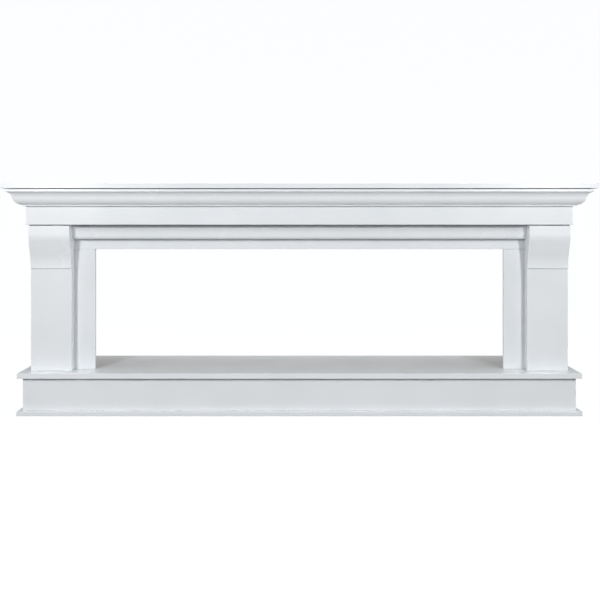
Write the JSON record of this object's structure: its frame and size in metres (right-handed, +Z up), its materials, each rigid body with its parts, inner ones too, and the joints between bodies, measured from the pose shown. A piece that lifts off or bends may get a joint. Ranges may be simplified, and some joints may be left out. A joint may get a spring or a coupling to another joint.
{
  "type": "fireplace mantelpiece",
  "caption": "White lacquered fireplace surround: deep mantel shelf on crown moulding and frieze, S-curved corbel legs round a wide low opening, on a boxed hearth plinth.",
  "frame": {"origin": "middle of the overall box, on the underside of the base board, where it stands on the floor", "axes": "+X to the right along the mantel shelf as seen from the front, +Y from the front to the wall behind, +Z up"},
  "size_m": [2.1, 0.496, 0.829],
  "materials": {
    "white_lacquer": "satin white lacquer on MDF",
    "bare_mdf": "bare MDF board"
  },
  "bodies": {
    "root": {"mantel_shelf": "white_lacquer", "crown_front": "white_lacquer", "crown_left": "white_lacquer", "crown_right": "white_lacquer", "frieze_front": "white_lacquer", "frieze_end_left": "white_lacquer", "frieze_end_right": "white_lacquer", "frieze_soffit": "white_lacquer", "back_rail": "bare_mdf", "header_moulding": "white_lacquer", "header_board": "white_lacquer", "stile_left": "white_lacquer", "stile_right": "white_lacquer", "corbel_left": "white_lacquer", "corbel_right": "white_lacquer", "pilaster_left": "white_lacquer", "pilaster_right": "white_lacquer", "leg_side_left": "white_lacquer", "leg_side_right": "white_lacquer", "leg_return_left": "white_lacquer", "leg_return_right": "white_lacquer", "hearth_slab": "white_lacquer", "plinth_front": "white_lacquer", "plinth_end_left": "white_lacquer", "plinth_end_right": "white_lacquer", "plinth_back": "bare_mdf", "base_board": "white_lacquer"}
  },
  "joints": []
}
